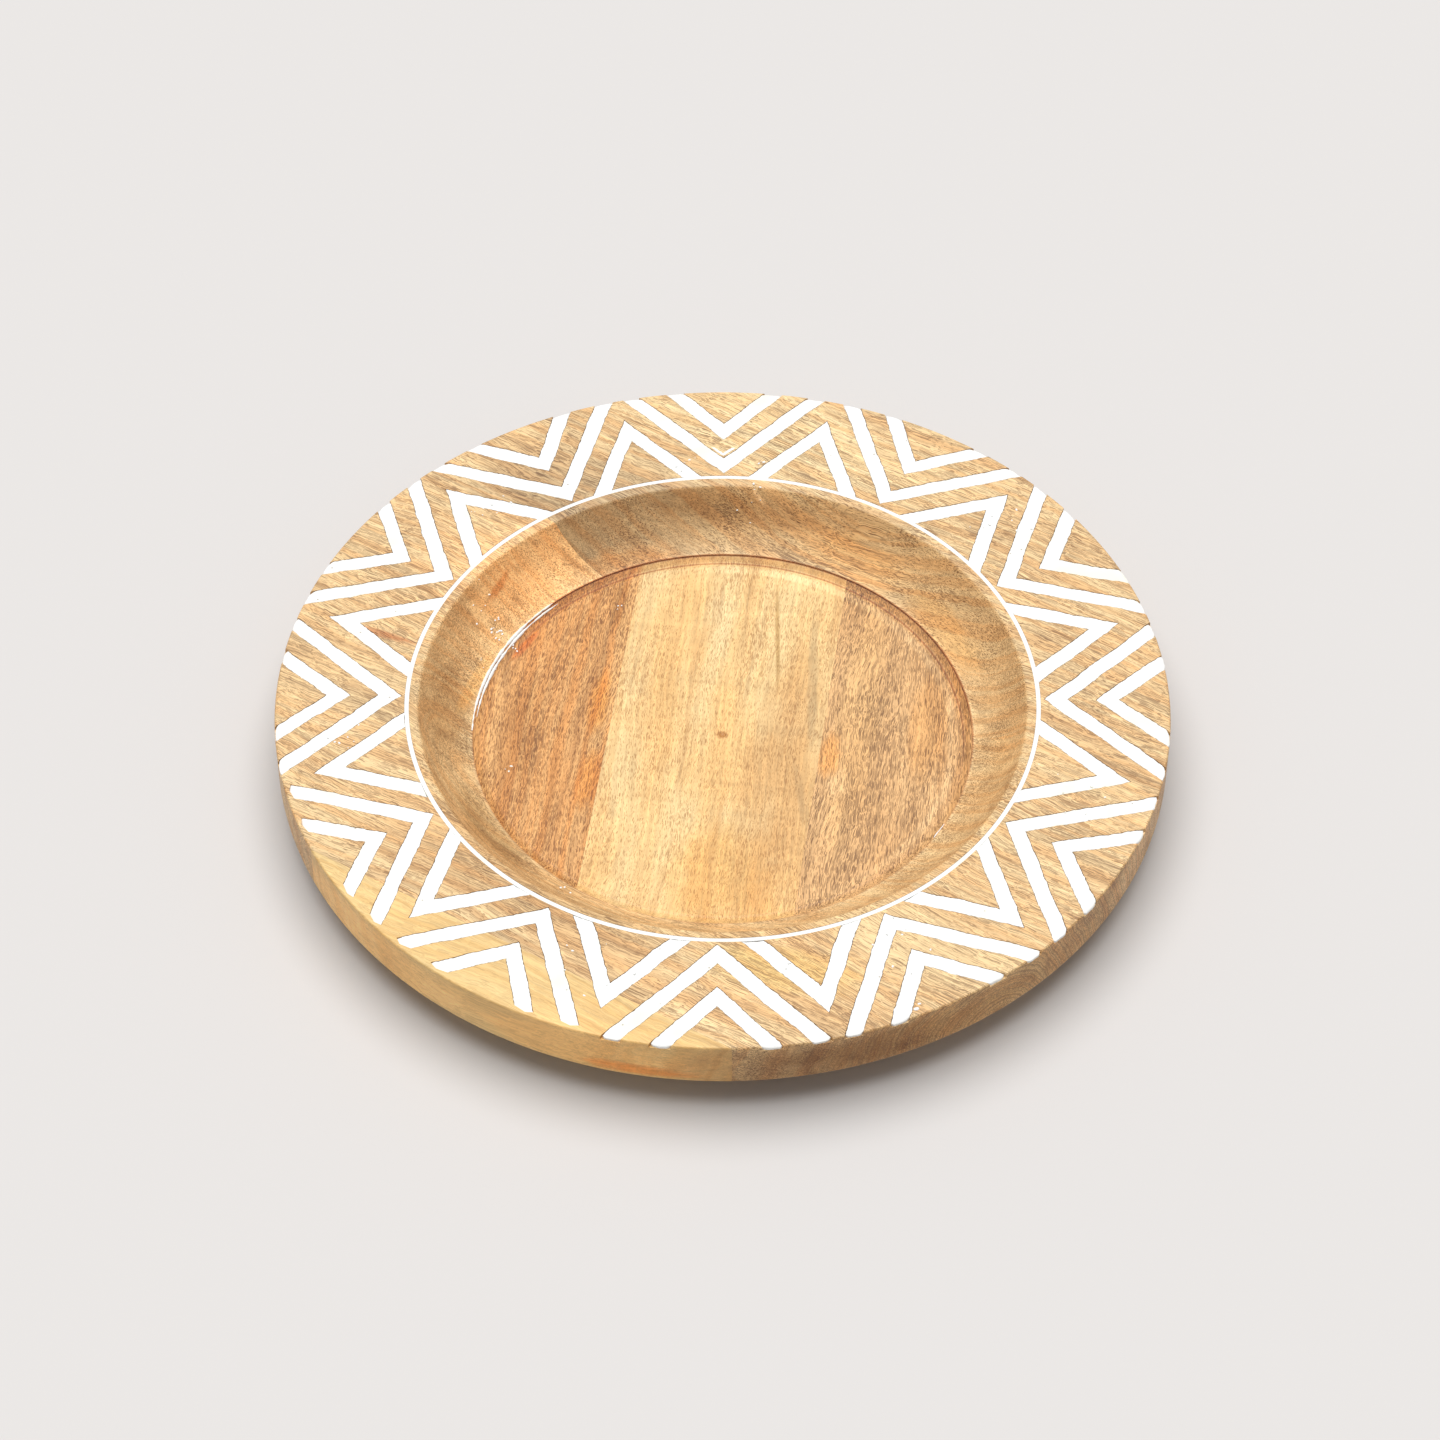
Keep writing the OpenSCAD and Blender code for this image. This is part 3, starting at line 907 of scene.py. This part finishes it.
def paint_stroke(kind, k, paint):
    """The dried paint in a stroke: narrower than its groove, hollow in the middle and blunt at the edge."""
    outwards = STROKES[kind]["direction"] == OUTWARDS
    stop = STROKE_SHORT + PAINT_STOP if k in SHORT_REPEATS else PAINT_STOP
    end = RIM_R - stop if outwards else RING_OUT - PAINT_GAP
    return stroke(
        kind, k,
        **{
            "Width": GROOVE_W - PAINT_SLACK, "End Radius": end, "End Round": PAINT_ROUND if outwards else 0.0,
            "Bottom": GROOVE_Z + PAINT_LIFT, "Top": TOP_Z - PAINT_RECESS, "Dish": PAINT_DISH,
            "End Drop": PAINT_DROP if outwards else PAINT_GAP, "Ragged": PAINT_RAGGED,
            "Columns": PAINT_COLUMNS, "Material": paint,
        },
    )


TURNED_TREE = turned_tree()
STROKE_TREE = stroke_tree()


# ---- The bowl ----


def make_rim(woods):
    """The upper layer: one turned blank, carved, then sawn into its three boards."""
    blank = turned(rim_section(), True, woods["rim_middle_wood"])
    cuts = joined([cut_stroke(kind, k) for kind in STROKES for k in range(REPEATS)])
    carved = combined(blank, cuts, "DIFFERENCE")
    front, back = RIM_JOINTS
    sides = (("back", back, PAST_RIM), ("middle", front, back), ("front", -PAST_RIM, front))
    for side, start, end in sides:
        board = combined(carved, slab(RIM_GRAIN, start, end), "INTERSECT")
        node = f"rim_board_{side}"
        finish(f"{node}_carved", board, woods[f"rim_{side}_wood"], [node])


def make_base(woods):
    """The lower layer: one turned blank, sawn into its three boards."""
    blank = turned(base_section(), False, woods["base_centre_wood"])
    right, left = BASE_JOINTS
    sides = (("left", left, PAST_RIM), ("centre", right, left), ("right", -PAST_RIM, right))
    for side, start, end in sides:
        board = combined(blank, slab(BASE_GRAIN, start, end), "INTERSECT")
        node = f"base_board_{side}"
        finish(f"{node}_turned", board, woods[f"base_{side}_wood"], [node])


def make_paint(paint):
    """The paint in the twelve repeats of each stroke, and in the ring line."""
    for kind in STROKES:
        for k in range(REPEATS):
            node = f"{kind}_{k + 1:02d}"
            finish(f"{node}_paint", paint_stroke(kind, k, paint), paint, [node])
    top = TOP_Z - PAINT_RECESS
    section = [
        (RING_IN + PAINT_GAP, RING_Z + PAINT_LIFT),
        (RING_OUT - PAINT_GAP, RING_Z + PAINT_LIFT),
        (RING_OUT - PAINT_GAP, top),
        ((RING_IN + RING_OUT) / 2, top - RING_DISH),
        (RING_IN + PAINT_GAP, top),
    ]
    finish("ring_line_paint", turned(section, True, paint), paint, ["ring_line"])


def bead_tree():
    """A bead of paint along an arc about +Z, thin at its ends and uneven along its length."""
    tree, given = new_group(
        "Paint bead",
        "GeometryNodeTree",
        {
            "Radius": FLOAT, "Start": FLOAT, "Sweep": FLOAT, "Height": FLOAT, "Thickness": FLOAT,
            "Ragged": FLOAT, "Material": MATERIAL,
        },
        {"Geometry": GEOMETRY},
    )
    line = {"Resolution": 260, "Radius": given["Radius"]}
    line.update({"Start Angle": given["Start"], "Sweep Angle": given["Sweep"]})
    line = put(tree, "GeometryNodeCurveArc", line, mode="RADIUS").outputs["Curve"]
    share = put(tree, "GeometryNodeSplineParameter").outputs["Factor"]
    taper = maths(tree, "MULTIPLY", maths(tree, "MULTIPLY", share, maths(tree, "SUBTRACT", 1.0, share)), 4.0)
    taper = maths(tree, "POWER", taper, 0.3)
    uneven = put(tree, "ShaderNodeTexNoise", {"Scale": 160.0, "Detail": 2.0}).outputs["Fac"]
    tree.links.new(put(tree, "GeometryNodeInputPosition").outputs[0], uneven.node.inputs["Vector"])
    taper = maths(tree, "MULTIPLY", taper, ramp(tree, uneven, 0.3, 0.6, 0.35, 1.0))
    line = put(tree, "GeometryNodeSetCurveRadius", {"Curve": line, "Radius": taper}).outputs[0]
    ring = {"Resolution": 10, "Radius": given["Thickness"]}
    ring = put(tree, "GeometryNodeCurvePrimitiveCircle", ring).outputs[0]
    tube = {"Curve": line, "Profile Curve": ring, "Fill Caps": True, "Scale": taper}
    tube = put(tree, "GeometryNodeCurveToMesh", tube).outputs[0]
    rough = put(tree, "ShaderNodeTexNoise", {"Scale": 500.0, "Detail": 2.0})
    tree.links.new(put(tree, "GeometryNodeInputPosition").outputs[0], rough.inputs["Vector"])
    rough = vectors(tree, "SUBTRACT", rough.outputs["Color"], (0.5, 0.5, 0.5))
    rough = scaled(tree, rough, given["Ragged"])
    lift = vectors(tree, "ADD", rough, vector(tree, 0.0, 0.0, given["Height"]))
    tube = put(tree, "GeometryNodeSetPosition", {"Geometry": tube, "Offset": lift}).outputs[0]
    give(tree, geometry=made_of(tree, tube, given["Material"]))
    return tree


def blob_tree():
    """A small flattened blob of paint at each vertex that it is given."""
    tree, given = new_group(
        "Paint blobs", "GeometryNodeTree",
        {"Spots": GEOMETRY, "Size": FLOAT, "Seed": WHOLE, "Material": MATERIAL}, {"Geometry": GEOMETRY},
    )
    blob = put(tree, "GeometryNodeMeshIcoSphere", {"Radius": 1.0, "Subdivisions": 2}).outputs["Mesh"]
    range_of = {2: 0.35, 3: 1.0, "Seed": given["Seed"]}
    chance = put(tree, "FunctionNodeRandomValue", range_of, data_type="FLOAT").outputs[1]
    size = maths(tree, "MULTIPLY", chance, given["Size"])
    scale = vector(tree, size, maths(tree, "MULTIPLY", size, 0.7), maths(tree, "MULTIPLY", size, 0.35))
    other = {0: (0.0, 0.0, 0.0), 1: (0.0, 0.0, 2 * math.pi), "Seed": given["Seed"]}
    turn = put(tree, "FunctionNodeRandomValue", other, data_type="FLOAT_VECTOR").outputs[0]
    spread = {"Points": given["Spots"], "Instance": blob, "Scale": scale, "Rotation": turn}
    spread = put(tree, "GeometryNodeInstanceOnPoints", spread).outputs[0]
    real = put(tree, "GeometryNodeRealizeInstances", {"Geometry": spread}).outputs[0]
    fine = maths(tree, "DIVIDE", 0.8, given["Size"])
    rough = put(tree, "ShaderNodeTexNoise", {"Scale": fine, "Detail": 1.0})
    tree.links.new(put(tree, "GeometryNodeInputPosition").outputs[0], rough.inputs["Vector"])
    rough = vectors(tree, "SUBTRACT", rough.outputs["Color"], (0.5, 0.5, 0.5))
    rough = scaled(tree, rough, maths(tree, "MULTIPLY", given["Size"], 0.35))
    real = put(tree, "GeometryNodeSetPosition", {"Geometry": real, "Offset": rough}).outputs[0]
    give(tree, geometry=made_of(tree, real, given["Material"]))
    return tree


BEAD_TREE = bead_tree()
BLOB_TREE = blob_tree()


def wall_z(radius):
    """The height of the bowl's upper surface at a distance from the axis."""
    if radius <= FLOOR_R - COVE:
        return FLOOR_Z
    if radius <= FLOOR_R:
        share = (FLOOR_R - radius) / COVE
        return FLOOR_Z + (LAYER_Z - FLOOR_Z) * (1 - share) ** 2
    wall = [(FLOOR_R, LAYER_Z), *reversed(wall_points())]
    for (r0, z0), (r1, z1) in zip(wall, wall[1:]):
        if r0 <= radius <= r1:
            return z0 + (z1 - z0) * (radius - r0) / (r1 - r0)
    return TOP_Z


# Clusters of paint specks are (distance from the axis, angle, spread, count), in millimetres and degrees.
SPECK_CLUSTERS = (
    (90, 150, 1.4, 12), (96, 149, 2.4, 8), (82, 151, 1.4, 4), (87, 160, 2.4, 5), (71, 121, 0.8, 3),
    (74, 193, 1, 3), (89, -126, 1.2, 3), (98, 85, 2, 4), (101, 83, 1.2, 3), (114, 83, 1.4, 6),
    (118, -79, 1.5, 3), (115, 97, 2, 5), (125, 40, 6, 8), (125, -20, 6, 8), (125, -62, 6, 8),
    (125, -110, 6, 8), (125, 130, 6, 8), (125, 190, 6, 8),
)
# Lumps of paint on the rim are (x, y, size), in millimetres.
LUMPS = ((61, -134, 2), (62, -132, 1.2))
SCATTER_SEED = 5
SPECK_SIZE = 0.6 * MM
SPECK_SEED = 3
LUMP_SEED = 8
# Beads of paint along the seam: where each arc starts and how far it runs are in degrees.
BEAD_RAGGED = 0.35 * MM
BEADS = (
    {"Radius": FLOOR_R + 0.3 * MM, "Start": 134, "Sweep": 46, "Thickness": 0.62 * MM},
    {"Radius": FLOOR_R - 0.7 * MM, "Start": 133, "Sweep": 42, "Thickness": 0.55 * MM},
    {"Radius": FLOOR_R - 0.2 * MM, "Start": -34, "Sweep": 5, "Thickness": 0.26 * MM},
)
# The small second V just inside the first repeat's middle chevron.
NICK = {
    "Width": 1.0 * MM, "Reach": STROKES["middle_chevron"]["reach"] * RIM_R + GROOVE_W, "End Round": 0.0,
    "End Radius": 0.808 * RIM_R, "Bottom": TOP_Z - 0.3 * MM, "Top": TOP_Z + 0.05 * MM, "Dish": 0.0,
    "End Drop": 0.3 * MM, "Ragged": 0.3 * MM, "Columns": PAINT_COLUMNS,
}


def make_drips(paint):
    """Paint that ran into the seam, specks that were never wiped off, and the V at the back."""
    meshes = []
    for bead in BEADS:
        values = {**bead, "Height": wall_z(bead["Radius"]), "Ragged": BEAD_RAGGED, "Material": paint}
        values.update({"Start": math.radians(bead["Start"]), "Sweep": math.radians(bead["Sweep"])})
        meshes.append(grown(bpy.data.meshes.new("bead"), BEAD_TREE, values))
    finish("seam_drip_paint", joined(meshes), paint)

    chance = random.Random(SCATTER_SEED)
    places = []
    for reach, angle, spread, count in SPECK_CLUSTERS:
        for _ in range(count):
            x = reach * math.cos(math.radians(angle)) + chance.gauss(0, spread)
            y = reach * math.sin(math.radians(angle)) + chance.gauss(0, spread)
            places.append((x * MM, y * MM, wall_z(math.hypot(x, y) * MM)))
    spots = bpy.data.meshes.new("spots")
    spots.from_pydata(places, [], [])
    meshes = [grown(spots, BLOB_TREE, {"Size": SPECK_SIZE, "Seed": SPECK_SEED, "Material": paint})]
    for x, y, size in LUMPS:
        spot = bpy.data.meshes.new("spot")
        spot.from_pydata([(x * MM, y * MM, TOP_Z)], [], [])
        meshes.append(grown(spot, BLOB_TREE, {"Size": size * MM, "Seed": LUMP_SEED, "Material": paint}))
    finish("paint_specks", joined(meshes), paint)

    nick = stroke("middle_chevron", 0, **NICK, Material=paint)
    finish("chevron_nick_paint", nick, paint)


# ---- Room, light and camera ----

SOFTBOX_STRENGTH = 2.85
SOFTBOX_WIDTH = 60
SOFTBOX_LEAN = 10
SOFTBOX_SIDE = 2
SKY_STRENGTH = 0.32
FLOOR_COLOUR = (216, 213, 211)
FLOOR_REACH = 8.0
CAMERA_DISTANCE = 9.75 * RIM_R
CAMERA_RISE = math.radians(47)
CAMERA_TILT = math.radians(47.3)
CAMERA_TURN = math.radians(0.05)
CAMERA_LENS = 109


def make_room():
    """A pale floor, a wide soft light overhead and a little behind, and a pale sky."""
    mesh = bpy.data.meshes.new("floor")
    square = ((-1, -1), (1, -1), (1, 1), (-1, 1))
    corners = [(x * FLOOR_REACH, y * FLOOR_REACH, 0) for x, y in square]
    mesh.from_pydata(corners, [], [(0, 1, 2, 3)])
    floor = bpy.data.objects.new("floor", mesh)
    bpy.context.scene.collection.objects.link(floor)
    material, _, shader, _ = new_material("Pale floor")
    shader.inputs["Base Color"].default_value = srgb(*FLOOR_COLOUR)
    shader.inputs["Roughness"].default_value = 0.9
    shader.inputs["Specular IOR Level"].default_value = 0.1
    mesh.materials.append(material)

    world = bpy.data.worlds.new("Studio")
    world.use_nodes = True
    sky = world.node_tree.nodes["Background"]
    sky.inputs["Color"].default_value = (1.0, 1.0, 1.0, 1.0)
    sky.inputs["Strength"].default_value = SKY_STRENGTH
    bpy.context.scene.world = world

    lamp = bpy.data.lights.new("softbox", "SUN")
    lamp.energy = SOFTBOX_STRENGTH
    lamp.angle = math.radians(SOFTBOX_WIDTH)
    light = bpy.data.objects.new("softbox", lamp)
    light.rotation_euler = (math.radians(-SOFTBOX_LEAN), math.radians(-SOFTBOX_SIDE), 0.0)
    bpy.context.scene.collection.objects.link(light)
    bpy.context.scene.view_settings.view_transform = "Standard"


def make_camera():
    """A long lens, in front of the bowl and well above it."""
    back = CAMERA_DISTANCE * math.cos(CAMERA_RISE)
    up = CAMERA_DISTANCE * math.sin(CAMERA_RISE)
    data = bpy.data.cameras.new("camera")
    data.sensor_width = 36.0
    data.lens = CAMERA_LENS
    data.clip_start = 0.05
    camera = bpy.data.objects.new("camera", data)
    camera.location = (0.0, -back, TOP_Z + up)
    camera.rotation_euler = (math.pi / 2 - CAMERA_TILT, 0.0, CAMERA_TURN)
    bpy.context.scene.collection.objects.link(camera)
    bpy.context.scene.camera = camera


make_camera()
make_room()
WOOD_MATERIALS = {name: wood(name.replace("_", " ").capitalize(), look) for name, look in WOODS.items()}
PAINT = white_paint()
make_rim(WOOD_MATERIALS)
make_base(WOOD_MATERIALS)
make_paint(PAINT)
make_drips(PAINT)
